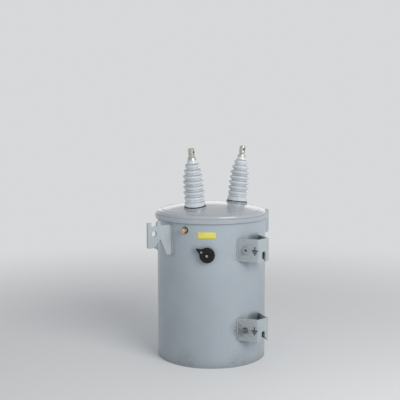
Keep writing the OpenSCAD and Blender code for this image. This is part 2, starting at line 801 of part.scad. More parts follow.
module earth_boss_tank() {
    color(enamel) difference() {
        on_wall(lv_turn + lv_step, tank_h - tank_boss_drop)
            outwards(tank_r - boss_r / 2) cylinder(r = boss_r, h = boss_r / 2 + boss_h);
        cylinder(r = tank_r, h = tank_h, $fn = 360);
        on_wall(lv_turn + lv_step, tank_h - tank_boss_drop)
            outwards(tank_r + 1) cylinder(r = boss_hole_r, h = boss_h);
    }
}

module earth_bolt() {
    washer_t = 2;
    color(zinc) on_bracket_leg(lower_bracket_z + bracket_h / 2) {
        translate([0, 0, 1.2]) cylinder(r = boss_hole_r - 0.05, h = boss_h);
        translate([0, 0, boss_h]) cylinder(r = boss_r, h = washer_t);
        translate([0, 0, boss_h + washer_t]) hexagon(earth_bolt_w - 2, 8);
    }
}

tank_wall();
tank_bottom();
core_and_coils();
cover_gasket();
cover();
clamp_band();
band_bolt();
hv_bushing(-1);  // hv_bushing_left
hv_bushing(1);  // hv_bushing_right
hv_gasket(-1);  // hv_gasket_left
hv_gasket(1);  // hv_gasket_right
hv_terminal(-1);  // hv_terminal_left
hv_terminal(1);  // hv_terminal_right
lv_bushing(1);  // lv_bushing_1
lv_bushing(2);  // lv_bushing_2
lv_bushing(3);  // lv_bushing_3
lv_gaskets();
lv_terminal(1);  // lv_terminal_1
lv_terminal(2);  // lv_terminal_2
lv_terminal(3);  // lv_terminal_3
upper_pole_bracket();
lower_pole_bracket();
lifting_lug(lug_turn);  // lifting_lug_right
lifting_lug(lug_turn + 180);  // lifting_lug_left
tap_flange();
tap_handle();
tap_screws();
relief_valve_body();
relief_valve_stem();
earth_boss_upper();
earth_boss_lower();
earth_boss_tank();
earth_bolt();
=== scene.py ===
from math import cos, pi, radians, sin, sqrt

import bmesh
import bpy
from mathutils import Matrix, Vector, noise


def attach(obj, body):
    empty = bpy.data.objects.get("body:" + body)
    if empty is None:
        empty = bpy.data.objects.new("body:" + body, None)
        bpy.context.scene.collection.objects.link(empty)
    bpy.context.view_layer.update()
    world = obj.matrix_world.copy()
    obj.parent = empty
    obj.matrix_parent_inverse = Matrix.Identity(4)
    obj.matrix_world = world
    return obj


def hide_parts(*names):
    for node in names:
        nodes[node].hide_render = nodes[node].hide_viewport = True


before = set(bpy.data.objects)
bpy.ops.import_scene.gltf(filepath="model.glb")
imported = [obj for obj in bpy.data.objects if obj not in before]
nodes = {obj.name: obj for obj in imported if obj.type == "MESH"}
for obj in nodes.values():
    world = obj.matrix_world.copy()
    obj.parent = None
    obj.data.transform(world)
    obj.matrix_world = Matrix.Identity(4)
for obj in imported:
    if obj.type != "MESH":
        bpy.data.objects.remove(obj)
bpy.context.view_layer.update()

print("frame loaded,", len(nodes), "nodes")

# what several pieces share: lengths in metres, directions round the tank in degrees, the pole at 90
tank = {"radius": 0.200, "pole": 90, "lug": 0.15, "lv": 270, "lvStep": 20, "lvHeight": 0.390}
bracket = {
    "footHalf": 0.0575, "faceHalf": 0.027, "face": 0.264, "tall": 0.081,
    "upper": 0.3835, "lower": 0.09775,
}
bracketLows = (bracket["upper"], bracket["lower"])
dial = {"turn": 42, "height": 0.4105, "back": 0.2096, "pointer": 150}
valve = {"turn": 19, "height": 0.494}
upward = Vector((0, 0, 1))


# a place by direction and height, out from the tank's axis, and across to the right as seen from outside
def onWall(turn, height, out=0.0, across=0.0):
    a = radians(turn)
    return Vector((out * cos(a) - across * sin(a), out * sin(a) + across * cos(a), height))


# a socket of a node tree that works in Python sums
class Val:
    def __init__(self, tree, socket):
        self.tree = tree
        self.socket = socket

    def sum(self, kind, other, swap=False):
        first, second = (other, self) if swap else (self, other)
        return self.tree.node("ShaderNodeMath", {"operation": kind}, {0: first, 1: second})

    def __add__(self, other): return self.sum("ADD", other)
    def __radd__(self, other): return self.sum("ADD", other, True)
    def __sub__(self, other): return self.sum("SUBTRACT", other)
    def __rsub__(self, other): return self.sum("SUBTRACT", other, True)
    def __mul__(self, other): return self.sum("MULTIPLY", other)
    def __rmul__(self, other): return self.sum("MULTIPLY", other, True)
    def most(self, other): return self.sum("MAXIMUM", other)

    # 0 below low, 1 above high, smooth between
    def step(self, low, high):
        return self.tree.node(
            "ShaderNodeMapRange", {"interpolation_type": "SMOOTHSTEP"},
            {"Value": self, "From Min": low, "From Max": high, "To Min": 0.0, "To Max": 1.0},
        )


class Tree:
    def __init__(self, nodeTree):
        self.nodeTree = nodeTree

    def node(self, kind, settings=None, inputs=None, output=0):
        made = self.nodeTree.nodes.new(kind)
        for key, value in (settings or {}).items():
            setattr(made, key, value)
        for key, value in (inputs or {}).items():
            socket = made.inputs[key]
            if isinstance(value, Val):
                self.nodeTree.links.new(value.socket, socket)
            elif isinstance(value, tuple) and socket.type == "RGBA":
                socket.default_value = (*value, 1.0)
            else:
                socket.default_value = value
        return Val(self, made.outputs[output])

    def mix(self, share, first, second):
        return self.node("ShaderNodeMix", {"data_type": "RGBA"}, {0: share, 6: first, 7: second}, 2)

    # 1 for rays from the camera, also by way of gloss or glass, and 0 for light on the part
    def seen(self):
        camera = self.node("ShaderNodeLightPath", output="Is Camera Ray")
        glossy = self.node("ShaderNodeLightPath", output="Is Glossy Ray")
        through = self.node("ShaderNodeLightPath", output="Is Transmission Ray")
        return camera.most(glossy).most(through)


class Paint(Tree):
    def __init__(self, name, **constants):
        self.material = bpy.data.materials.new(name)
        self.material.use_nodes = True
        super().__init__(self.material.node_tree)
        self.shader = self.nodeTree.nodes["Principled BSDF"]
        for key, value in constants.items():
            self.shader.inputs[key.replace("_", " ")].default_value = value
        self.place = self.node("ShaderNodeTexCoord", output="Object")
        self.height = self.node("ShaderNodeSeparateXYZ", {}, {0: self.place}, 2)

    # noise with features of a size in metres, stretched along each axis
    def noise(self, size, detail=2.0, stretch=(1, 1, 1), roughness=0.5, shift=0.0):
        spot = self.node(
            "ShaderNodeMapping", {"vector_type": "POINT"},
            {
                "Vector": self.place, "Location": (shift, shift * 0.7, shift * 1.3),
                "Scale": tuple(1 / (size * s) for s in stretch),
            },
        )
        return self.node(
            "ShaderNodeTexNoise", {"noise_dimensions": "3D"},
            {"Vector": spot, "Scale": 1.0, "Detail": detail, "Roughness": roughness},
        )

    # 1 at a spot, fading to 0 at a distance
    def near(self, spot, reach):
        apart = self.node(
            "ShaderNodeVectorMath", {"operation": "DISTANCE"}, {0: self.place, 1: tuple(spot)}, "Value",
        )
        return 1 - apart.step(reach * 0.25, reach)

    # 1 on edges and corners, 0 on open faces
    def edge(self, reach):
        rounded = self.node("ShaderNodeBevel", {"samples": 4}, {"Radius": reach})
        flat = self.node("ShaderNodeNewGeometry", output="Normal")
        alike = self.node(
            "ShaderNodeVectorMath", {"operation": "DOT_PRODUCT"}, {0: rounded, 1: flat}, "Value",
        )
        return 1 - alike.step(0.80, 0.985)

    # 1 deep in pockets and corners, 0 in the open
    def recess(self, reach):
        light = self.node("ShaderNodeAmbientOcclusion", {"samples": 8}, {"Distance": reach}, "AO")
        return 1 - light.step(0.30, 0.85)

    def feed(self, **values):
        for key, value in values.items():
            self.nodeTree.links.new(value.socket, self.shader.inputs[key.replace("_", " ")])

    def bump(self, height, depth, strength=1.0, below=None):
        inputs = {"Strength": strength, "Distance": depth, "Height": height}
        if below is not None:
            inputs["Normal"] = below
        return self.node("ShaderNodeBump", {}, inputs)


def wear(piece, paint):
    piece.data.materials.clear()
    piece.data.materials.append(paint.material)


# sprayed enamel: slightly uneven, with dust, small marks, darker rougher spots, painted shade in corners,
# pockets and slots, and chipped edges
enamel = {
    "wall": {"colour": (0.398, 0.452, 0.500), "rough": 0.30, "coat": 0.15, "dust": 0.18, "paintedShade": 0.36},
    "cover": {"colour": (0.402, 0.435, 0.468), "rough": 0.15, "coat": 0.80, "dust": 0.20, "paintedShade": 0.25},
    "band": {"colour": (0.400, 0.440, 0.480), "rough": 0.27, "coat": 0.20, "dust": 0.25, "paintedShade": 0.30},
    "bracket": {
        "colour": (0.425, 0.475, 0.505), "rough": 0.34, "coat": 0.10, "dust": 0.15, "paintedShade": 0.65,
        "edges": 0.0009,
    },
    "weld": {"colour": (0.385, 0.430, 0.470), "rough": 0.38, "coat": 0.05, "dust": 0.30, "paintedShade": 0.25},
}
grey = {
    "dust": (0.47, 0.47, 0.45), "run": (0.25, 0.26, 0.26), "mark": (0.16, 0.14, 0.12),
    "chip": (0.20, 0.19, 0.18), "foot": (0.21, 0.205, 0.195),
    "paintedShade": (0.075, 0.084, 0.090), "darkened": (0.165, 0.180, 0.190),
}
# how strongly each kind of dirt and painted shade shows, and how far it reaches
grimeAndShade = {
    "clouds": 0.20, "runs": 0.14, "marks": 0.45, "chips": 0.35, "darkenedRough": 0.22,
    "foot": 0.22, "footTall": 0.034, "footRough": 0.2, "cornerReach": 0.050,
    "pocket": 0.58, "pocketReach": 0.030, "slot": 0.75, "slotReach": 0.045, "slotDepth": 0.120,
}
# spot, reach and strength of each darker, rougher place: at the brackets, painted shade and painted shadow
# on the near legs and round the lower earth bolt; on the rest of the wall, darker spots
bracketSpots = [
    (onWall(90, 0.142, 0.190, -0.064), 0.030, 0.62),
    (onWall(90, 0.132, 0.190, -0.050), 0.030, 0.50),
    (onWall(90, 0.396, 0.192, -0.060), 0.026, 0.30),
    (onWall(90, 0.424, 0.225, -0.046), 0.060, 0.35),
    (onWall(90, 0.138, 0.225, -0.046), 0.066, 0.48),
    (onWall(90, 0.138, 0.222, -0.0447), 0.016, 0.85),
]
wallSpots = [
    (onWall(0, 0.410, 0.202, 0.004), 0.030, 0.35),
    (onWall(42, 0.428, 0.200, -0.048), 0.022, 0.60),
    (onWall(20, 0.020, 0.200), 0.060, 0.26),
    (onWall(75, 0.006, 0.200), 0.070, 0.28),
    (onWall(180, 0.415, 0.202), 0.030, 0.30),
    (onWall(262, 0.010, 0.200), 0.080, 0.26),
]
# painted shadow on the wall inside each bracket, under its open top and behind its slot
pocketShadowSpots = [
    onWall(tank["pole"], low + height, 0.196, across)
    for low in bracketLows
    for height, across in ((0.070, 0.006), (0.070, 0.030), (0.030, -0.014), (0.030, 0.014))
]
# painted shade on the brackets' own inner faces, behind the slots
slotShadeSpots = [
    onWall(tank["pole"], low + 0.026, 0.222, across)
    for low in bracketLows for across in (0.016, 0.042)
]


def enamelPaint(name, look, darkened=(), pockets=(), slots=()):
    paint = Paint(name, IOR=1.5, Coat_Weight=look["coat"], Coat_Roughness=0.08)
    deeper, brighter, duller = (tuple(c * share for c in look["colour"]) for share in (0.945, 1.05, 0.86))
    broad = paint.noise(0.20, 3.0)
    cloud = paint.noise(0.050, 4.0, shift=3.1)
    run = paint.noise(0.011, 3.0, stretch=(1, 1, 18), shift=7.7)
    speck = paint.noise(0.0040, 2.0, shift=1.9)
    base = paint.mix(broad.step(0.30, 0.70), deeper, brighter)
    base = paint.mix(cloud.step(0.46, 0.75) * grimeAndShade["clouds"], base, duller)
    base = paint.mix(run.step(0.60, 0.78) * broad.step(0.35, 0.62) * grimeAndShade["runs"], base, grey["run"])
    dusty = cloud.step(0.50, 0.74) * look["dust"]
    base = paint.mix(dusty, base, grey["dust"])
    marks = speck.step(0.73, 0.79) * cloud.step(0.42, 0.60) * grimeAndShade["marks"]
    rub = paint.noise(0.015, 5.0, stretch=(1, 1, 0.5), roughness=0.65, shift=5.5)
    rough = look["rough"] + cloud * 0.08 + dusty * 0.30
    # darker, rougher spots; at the brackets the darkening is painted shade and painted shadow
    for spot, reach, strength in darkened:
        worn = paint.near(spot, reach) * (0.30 + rub.step(0.42, 0.62) * 0.70)
        base = paint.mix(worn * strength, base, grey["darkened"])
        rough = rough + worn * grimeAndShade["darkenedRough"]
    foot = (1 - paint.height.step(0.0, grimeAndShade["footTall"])) * (0.25 + rub.step(0.48, 0.60) * 0.75)
    base = paint.mix(foot * grimeAndShade["foot"], base, grey["foot"])
    # painted shade: darker in corners and recesses
    base = paint.mix(paint.recess(grimeAndShade["cornerReach"]) * look["paintedShade"], base, grey["paintedShade"])
    # painted shadow on the wall inside the brackets
    for spot in pockets:
        base = paint.mix(paint.near(spot, grimeAndShade["pocketReach"]) * grimeAndShade["pocket"], base, grey["paintedShade"])
    # painted shade deep inside the brackets' slots
    if slots:
        deep = paint.recess(grimeAndShade["slotDepth"])
        for spot in slots:
            inside = paint.near(spot, grimeAndShade["slotReach"]) * deep
            base = paint.mix(inside * grimeAndShade["slot"], base, grey["paintedShade"])
    if "edges" in look:
        chips = paint.edge(look["edges"]) * rub.step(0.42, 0.60)
        base = paint.mix(chips * grimeAndShade["chips"], base, grey["chip"])
    base = paint.mix(marks, base, grey["mark"])
    peel = paint.noise(0.0034, 1.0, shift=2.2)
    wave = paint.noise(0.045, 1.0, shift=9.2)
    paint.feed(
        Base_Color=base, Roughness=rough + foot * grimeAndShade["footRough"],
        Normal=paint.bump(peel, 0.00006, 0.5, paint.bump(wave, 0.0006, 0.5)),
    )
    return paint


# hard porcelain glaze with flecks and dirt patches, and painted shade in its corners and just above the
# rims of the tall bushings' sheds
glaze = {
    "deep": (0.575, 0.615, 0.660), "pale": (0.660, 0.695, 0.730), "fleck": (0.26, 0.25, 0.23),
    "dirtAndShade": (0.36, 0.36, 0.35), "paintedShade": (0.15, 0.17, 0.19),
    "flecks": 0.30, "patches": 0.25, "corners": 0.12, "cornerReach": 0.014,
    "rimLeast": 0.28, "rimMore": 0.50,
}


def glazePaint():
    paint = Paint("porcelainGlaze", IOR=1.52, Coat_Weight=0.6, Coat_Roughness=0.03)
    tone = paint.noise(0.05, 2.0)
    fleck = paint.noise(0.0016, 2.0, shift=4.4)
    dirtAndShade = paint.noise(0.02, 4.0, stretch=(1, 1, 0.4), shift=8.8)
    base = paint.mix(tone.step(0.3, 0.7), glaze["deep"], glaze["pale"])
    base = paint.mix(fleck.step(0.70, 0.78) * glaze["flecks"], base, glaze["fleck"])
    base = paint.mix(dirtAndShade.step(0.56, 0.74) * glaze["patches"], base, glaze["dirtAndShade"])
    # painted shade in the glaze's corners
    base = paint.mix(paint.recess(glaze["cornerReach"]) * glaze["corners"], base, glaze["paintedShade"])
    # painted shade in a band just above each shed's rim, its strength set per point
    paintedShade = paint.node("ShaderNodeAttribute", {"attribute_name": "paintedShade"}, output="Fac")
    atRims = paintedShade.step(0.0, 0.9) * (glaze["rimLeast"] + dirtAndShade * glaze["rimMore"])
    base = paint.mix(atRims, base, glaze["paintedShade"])
    paint.feed(
        Base_Color=base, Roughness=0.09 + dirtAndShade.step(0.5, 0.8) * 0.22,
        Normal=paint.bump(paint.noise(0.012, 1.0, shift=1.1), 0.0004, 0.4),
    )
    return paint


rubber = {"dark": (0.010, 0.010, 0.011), "dusty": (0.042, 0.042, 0.040)}


def rubberPaint():
    paint = Paint("gasketRubber", IOR=1.45)
    tone = paint.noise(0.006, 3.0)
    paint.feed(
        Base_Color=paint.mix(tone, rubber["dark"], rubber["dusty"]), Roughness=0.62 + tone * 0.2,
        Normal=paint.bump(paint.noise(0.0012, 2.0), 0.0002, 0.5),
    )
    return paint


metals = {
    "brass": {"light": (0.72, 0.60, 0.38), "dark": (0.44, 0.35, 0.22), "rough": 0.26, "grain": 0.0006},
    "tinned": {"light": (0.60, 0.59, 0.56), "dark": (0.40, 0.38, 0.34), "rough": 0.32, "grain": 0.0009},
    "zinc": {"light": (0.62, 0.64, 0.66), "dark": (0.40, 0.41, 0.42), "rough": 0.30, "grain": 0.0009},
    "oldBolt": {"light": (0.30, 0.31, 0.32), "dark": (0.085, 0.086, 0.088), "rough": 0.36, "grain": 0.0008},
}
metalWear = {"tarnish": (0.13, 0.115, 0.10), "spots": 0.5, "edges": 0.35, "edgeReach": 0.0007}


def metalPaint(name, look):
    paint = Paint(name, IOR=1.5, Metallic=0.95)
    patch = paint.noise(0.008, 4.0, roughness=0.6)
    spot = paint.noise(0.0025, 2.0, shift=6.1)
    edges = paint.edge(metalWear["edgeReach"])
    base = paint.mix(patch.step(0.32, 0.74), look["light"], look["dark"])
    base = paint.mix(spot.step(0.66, 0.74) * metalWear["spots"], base, metalWear["tarnish"])
    base = paint.mix(edges * metalWear["edges"], base, look["light"])
    paint.feed(
        Base_Color=base, Roughness=look["rough"] + patch * 0.24 - edges * 0.08,
        Normal=paint.bump(paint.noise(look["grain"], 2.0), 0.00006, 0.5),
    )
    return paint


moulded = {
    "black": (0.0045, 0.0050, 0.0060), "worn": (0.010, 0.011, 0.013), "dust": (0.085, 0.087, 0.088),
    "dusty": 0.14,
}


def mouldedPaint():
    paint = Paint("dialPlastic", IOR=1.5, Coat_Weight=0.05, Coat_Roughness=0.3, Specular_IOR_Level=0.25)
    tone = paint.noise(0.02, 3.0)
    dust = paint.noise(0.006, 4.0, roughness=0.7, shift=2.7)
    base = paint.mix(tone, moulded["black"], moulded["worn"])
    base = paint.mix(dust.step(0.58, 0.82) * moulded["dusty"], base, moulded["dust"])
    paint.feed(
        Base_Color=base, Roughness=0.40 + dust.step(0.4, 0.8) * 0.3,
        Normal=paint.bump(paint.noise(0.0009, 2.0), 0.0001, 0.5),
    )
    return paint


varnish = {"dark": (0.10, 0.065, 0.04), "light": (0.20, 0.14, 0.09)}


def varnishPaint():
    paint = Paint("coreVarnish", IOR=1.5)
    plies = paint.noise(0.0016, 1.0, stretch=(40, 40, 1))
    paint.feed(
        Base_Color=paint.mix(plies.step(0.4, 0.6), varnish["dark"], varnish["light"]),
        Roughness=0.45 + plies * 0.2, Normal=paint.bump(plies, 0.0004, 0.5),
    )
    return paint


wallEnamel = enamelPaint("tankEnamel", enamel["wall"], bracketSpots + wallSpots, pocketShadowSpots)
coverEnamel = enamelPaint("coverEnamel", enamel["cover"])
bandEnamel = enamelPaint("bandEnamel", enamel["band"])
bracketEnamel = enamelPaint("bracketEnamel", enamel["bracket"], bracketSpots, slots=slotShadeSpots)
weldEnamel = enamelPaint("weldEnamel", enamel["weld"])
porcelain = glazePaint()
gasket = rubberPaint()
brass = metalPaint("valveBrass", metals["brass"])
tinned = metalPaint("tinnedBronze", metals["tinned"])
zinc = metalPaint("zincPlate", metals["zinc"])
oldBolt = metalPaint("weatheredSteel", metals["oldBolt"])
plastic = mouldedPaint()
core = varnishPaint()

finishOf = {
    "tank_wall": wallEnamel, "tank_bottom": wallEnamel, "core_and_coils": core,
    "cover_gasket": gasket, "cover": coverEnamel, "clamp_band": bandEnamel, "band_bolt": zinc,
    "hv_bushing_left": porcelain, "hv_bushing_right": porcelain,
    "hv_gasket_left": gasket, "hv_gasket_right": gasket,
    "hv_terminal_left": tinned, "hv_terminal_right": tinned,
    "lv_bushing_1": porcelain, "lv_bushing_2": porcelain, "lv_bushing_3": porcelain,
    "lv_gaskets": gasket, "lv_terminal_1": tinned, "lv_terminal_2": tinned, "lv_terminal_3": tinned,
    "upper_pole_bracket": bracketEnamel, "lower_pole_bracket": bracketEnamel,
    "lifting_lug_right": bracketEnamel, "lifting_lug_left": bracketEnamel,
    "tap_flange": plastic, "tap_handle": plastic, "tap_screws": zinc,
    "relief_valve_body": brass, "relief_valve_stem": brass,
    "earth_boss_upper": bracketEnamel, "earth_boss_lower": bracketEnamel, "earth_boss_tank": wallEnamel,
    "earth_bolt": oldBolt,
}
for name, paint in finishOf.items():
    wear(nodes[name], paint)
print("finishes made")


# one new piece from loose parts, each a list of points and a list of faces
def newPiece(name, parts, paint, body="tank", smooth=True):
    points, faces = [], []
    for some, more in parts:
        start = len(points)
        points += some
        faces += [tuple(start + i for i in face) for face in more]
    mesh = bpy.data.meshes.new(name)
    mesh.from_pydata([tuple(p) for p in points], [], faces)
    work = bmesh.new()
    work.from_mesh(mesh)
    bmesh.ops.recalc_face_normals(work, faces=work.faces)
    work.to_mesh(mesh)
    work.free()
    if smooth:
        mesh.shade_smooth()
    piece = bpy.data.objects.new(name, mesh)
    bpy.context.scene.collection.objects.link(piece)
    wear(piece, paint)
    if body:
        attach(piece, body)
    return piece


# a tube along a path, thick enough to be half sunk in the corner that a weld fills
def bead(path, size, ripple=0.14, pitch=0.0045, sides=8, closed=False):
    points, faces = [], []
    count = len(path)
    travelled = 0.0
    for i, spot in enumerate(path):
        before = path[i - 1] if (i or closed) else path[i]
        after = path[(i + 1) % count] if (i < count - 1 or closed) else path[i]
        along = (after - before).normalized()
        if i:
            travelled += (spot - path[i - 1]).length
        # any direction well across the path
        lean = Vector((1, 0.3, 0)) if abs(along.z) > 0.9 else Vector((0.13, 0.21, 1.0))
        side = along.cross(lean).normalized()
        rise = along.cross(side)
        lumps = noise.noise(spot * 90)  # about 11 mm apart
        wave = 1 + ripple * sin(travelled / pitch * 2 * pi) + ripple * 1.5 * lumps
        if not closed and i in (0, count - 1):
            wave *= 0.35  # the ends run out thin
        for k in range(sides):
            a = 2 * pi * k / sides
            points.append(spot + (side * cos(a) + rise * sin(a)) * size * wave)
    for i in range(count if closed else count - 1):
        for k in range(sides):
            near, far = i * sides, (i + 1) % count * sides
            faces.append((near + k, near + (k + 1) % sides, far + (k + 1) % sides, far + k))
    if not closed:
        faces.append(tuple(range(sides)))
        faces.append(tuple((count - 1) * sides + k for k in range(sides)))
    return points, faces


def straight(start, end, step=0.0011):
    count = max(2, int((end - start).length / step))
    return [start.lerp(end, i / count) for i in range(count + 1)]


def circle(middle, right, up, radius, count=96):
    turns = [2 * pi * k / count for k in range(count)]
    return [middle + (right * cos(a) + up * sin(a)) * radius for a in turns]


# the outer face of a bracket's near leg: foot, direction along it, direction out of it and length
def bracketLeg():
    out = sqrt(tank["radius"] ** 2 - bracket["footHalf"] ** 2)
    foot = onWall(tank["pole"], 0.0, out, -bracket["footHalf"])
    tip = onWall(tank["pole"], 0.0, bracket["face"], -bracket["faceHalf"])
    along = (tip - foot).normalized()
    return foot, along, along.cross(upward), (tip - foot).length


legFoot, legAlong, legOut, legLength = bracketLeg()

# weld beads: their sizes, then where they run, along feet, round seats and bosses, and on the shell
weld = {"bracket": 0.0028, "lug": 0.0025, "seat": 0.0016, "boss": 0.0011, "bottom": 0.0030, "seam": 0.0011}
lugFoot = {"half": 0.0045, "low": 0.401, "high": 0.508}
seatRadius = {"tap": 0.0214, "valve": 0.0128, "lv": 0.0244}
boss = {"radius": 0.0112, "alongLeg": 0.42, "tankHeight": 0.324}
bottom = {"height": 0.0215, "radius": 0.1965}
seam = {"turn": 225, "from": 0.004, "long": 0.513, "sunk": 0.0004}


# a bead on each side of a foot, ending 2 mm short of the plate's ends
def footWelds(turn, half, low, high, size):
    out = sqrt(tank["radius"] ** 2 - half ** 2) + size * 0.2
    made = []
    for side in (-1, 1):
        across = side * (half + size * 0.25)
        start, end = onWall(turn, low + 0.002, out, across), onWall(turn, high - 0.002, out, across)
        made.append(bead(straight(start, end), size))
    return made


def seatWeld(turn, height, radius, size, count=140):
    path = []
    for k in range(count):
        across, rise = radius * cos(2 * pi * k / count), radius * sin(2 * pi * k / count)
        out = sqrt(tank["radius"] ** 2 - across ** 2) + size * 0.1
        path.append(onWall(turn, height + rise, out, across))
    return bead(path, size, closed=True)


feet = []
for low in bracketLows:
    feet += footWelds(tank["pole"], bracket["footHalf"], low, low + bracket["tall"], weld["bracket"])
for turn in (tank["lug"], tank["lug"] + 180):
    feet += footWelds(turn, lugFoot["half"], lugFoot["low"], lugFoot["high"], weld["lug"])
newPiece("footWelds", feet, weldEnamel)

seats = [
    seatWeld(dial["turn"], dial["height"], seatRadius["tap"], weld["seat"]),
    seatWeld(valve["turn"], valve["height"], seatRadius["valve"], weld["seat"]),
]
for i in (-1, 0, 1):
    turn = tank["lv"] + i * tank["lvStep"]
    seats.append(seatWeld(turn, tank["lvHeight"], seatRadius["lv"], weld["seat"]))
seats.append(seatWeld(tank["lv"] + tank["lvStep"], boss["tankHeight"], boss["radius"], weld["boss"]))
for low in bracketLows:
    middle = legFoot + legAlong * legLength * boss["alongLeg"] + upward * (low + bracket["tall"] / 2)
    seats.append(bead(circle(middle, legAlong, upward, boss["radius"]), weld["boss"], closed=True))
newPiece("seatWelds", seats, weldEnamel)

bottomMiddle = Vector((0, 0, bottom["height"]))
bottomRing = circle(bottomMiddle, Vector((1, 0, 0)), Vector((0, 1, 0)), bottom["radius"], count=520)
seamStart = onWall(seam["turn"], seam["from"], tank["radius"] - seam["sunk"])
seamLine = straight(seamStart, seamStart + upward * seam["long"])
shell = [
    bead(bottomRing, weld["bottom"], closed=True),
    bead(seamLine, weld["seam"], ripple=0.18, pitch=0.0035),
]
newPiece("shellWelds", shell, weldEnamel)
print("welds made")

# bare yellow label, bent to the wall
label = {
    "turn": 41.2, "height": 0.4773, "wide": 0.0640, "tall": 0.0235, "corner": 0.003,
    "lift": 0.0001, "thick": 0.0003, "rows": 6, "columns": 28,
    "yellow": (0.70, 0.63, 0.055), "faded": (0.78, 0.72, 0.14), "rubbed": (0.62, 0.59, 0.34), "rubs": 0.35,
}


def labelSheet():
    points, faces = [], []
    rows, columns = label["rows"], label["columns"]
    half, corner = label["wide"] / 2, label["corner"]
    for depth in (label["lift"], label["lift"] + label["thick"]):
        for j in range(rows + 1):
            for i in range(columns + 1):
                across = -half + 2 * half * i / columns
                over = max(0.0, abs(across) - (half - corner))
                limit = label["tall"] / 2 - corner + sqrt(max(0.0, corner ** 2 - over ** 2))
                turn = label["turn"] + across / tank["radius"] * 180 / pi
                height = label["height"] - limit + 2 * limit * j / rows
                points.append(onWall(turn, height, tank["radius"] + depth))
    width = columns + 1
    layer = width * (rows + 1)
    for j in range(rows):
        for i in range(columns):
            a = j * width + i
            faces.append((a, a + width, a + width + 1, a + 1))
            faces.append((layer + a, layer + a + 1, layer + a + width + 1, layer + a + width))
    rim = list(range(width))
    rim += [(j + 1) * width + columns for j in range(rows)]
    rim += [rows * width + columns - 1 - i for i in range(columns)]
    rim += [(rows - 1 - j) * width for j in range(rows - 1)]
    for a, b in zip(rim, rim[1:] + rim[:1]):
        faces.append((a, b, layer + b, layer + a))
    return points, faces


def filmPaint():
    paint = Paint("labelFilm", IOR=1.48, Coat_Weight=0.2, Coat_Roughness=0.2)
    fade = paint.noise(0.03, 3.0)
    rub = paint.noise(0.004, 4.0, roughness=0.65, shift=3.0)
    base = paint.mix(fade.step(0.3, 0.7), label["yellow"], label["faded"])
    base = paint.mix(rub.step(0.58, 0.70) * label["rubs"], base, label["rubbed"])
    paint.feed(
        Base_Color=base, Roughness=0.38 + rub * 0.25,
        Normal=paint.bump(paint.noise(0.008, 2.0), 0.0002, 0.4),
    )
    return paint


newPiece("bareLabel", [labelSheet()], filmPaint())

# painted earth signs on the near leg of each bracket, as strokes of ink: a stem and three bars,
# each bar with its share of the width and of the way down
sign = {
    "along": 0.0645, "wide": 0.023, "tall": 0.028, "line": 0.0044, "stem": 0.8,
    "lift": 0.0001, "thick": 0.0002,
    "bars": ((1.0, 0.0), (0.60, 0.48), (0.22, 0.96)),
    "ink": (0.008, 0.009, 0.010), "worn": (0.16, 0.18, 0.19), "wear": 0.4,
}


def inkPaint():
    paint = Paint("signInk", IOR=1.45)
    worn = paint.noise(0.003, 3.0, shift=1.3)
    paint.feed(
        Base_Color=paint.mix(worn.step(0.62, 0.74) * sign["wear"], sign["ink"], sign["worn"]),
        Roughness=0.45 + worn * 0.2, Normal=paint.bump(worn, 0.00005, 0.4),
    )
    return paint


# a thin stroke by its middle, its three directions and its three sizes
def block(middle, right, up, out, wide, tall, thick):
    points = [
        middle + right * x * wide / 2 + up * y * tall / 2 + out * depth
        for depth in (0.0, thick) for y in (-1, 1) for x in (-1, 1)
    ]
    return points, [(0, 1, 3, 2), (4, 6, 7, 5), (0, 4, 5, 1), (2, 3, 7, 6), (0, 2, 6, 4), (1, 5, 7, 3)]


ink = inkPaint()
for name, low in (("upperEarthSign", bracket["upper"]), ("lowerEarthSign", bracket["lower"])):
    middle = legFoot + legAlong * sign["along"] + upward * (low + bracket["tall"] / 2)
    middle += legOut * sign["lift"]
    half, line, thick = sign["tall"] / 2, sign["line"], sign["thick"]
    stem = middle + upward * half / 2
    strokes = [block(stem, legAlong, upward, legOut, line * sign["stem"], half, thick)]
    for share, drop in sign["bars"]:
        spot = middle - upward * half * drop
        strokes.append(block(spot, legAlong, upward, legOut, sign["wide"] * share, line, thick))
    newPiece(name, strokes, ink, smooth=False)
print("label and signs made")

# high voltage porcelain: heights above the gasket, a radius for each shed's rim and for the hollow above it
bushing = {
    "out": 0.1104, "height": 0.56463, "turn": 14, "lean": 7, "lift": 0.006, "sides": 80,
    "first": 0.0129, "pitch": 0.01945, "top": 0.1651, "cap": 0.0160, "shank": 0.0229, "shankLength": 0.0700,
    "rims": (0.0368, 0.0370, 0.0386, 0.0380, 0.0374, 0.0360, 0.0315, 0.0258),
    "hollows": (0.0320, 0.0296, 0.0290, 0.0286, 0.0278, 0.0254, 0.0214, 0.0172),
    # share of the way from hollow to rim, and distance above or below the rim
    "above": ((0.93, 0.0016), (0.70, 0.0033), (0.35, 0.0050), (0.08, 0.0066)), "notch": 0.0080,
    "below": ((0.97, 0.0026), (0.86, 0.0052), (0.62, 0.0078), (0.28, 0.0100)),
    "footInset": 0.0008, "footRise": 0.0012, "footTop": 0.0040, "shadeAbove": 0.0033, "shadeWide": 0.0036,
}


# a curve through every point of a line
def smoothLine(points, steps=3):
    line = []
    last = len(points) - 1
    for i in range(last):
        p0, p1, p2, p3 = (Vector(points[min(max(k, 0), last)]) for k in (i - 1, i, i + 1, i + 2))
        for k in range(steps):
            t = k / steps
            bend = (2 * p0 - 5 * p1 + 4 * p2 - p3) * t ** 2 + (3 * p1 - p0 - 3 * p2 + p3) * t ** 3
            line.append(0.5 * (2 * p1 + (p2 - p0) * t + bend))
    return line + [Vector(points[-1])]


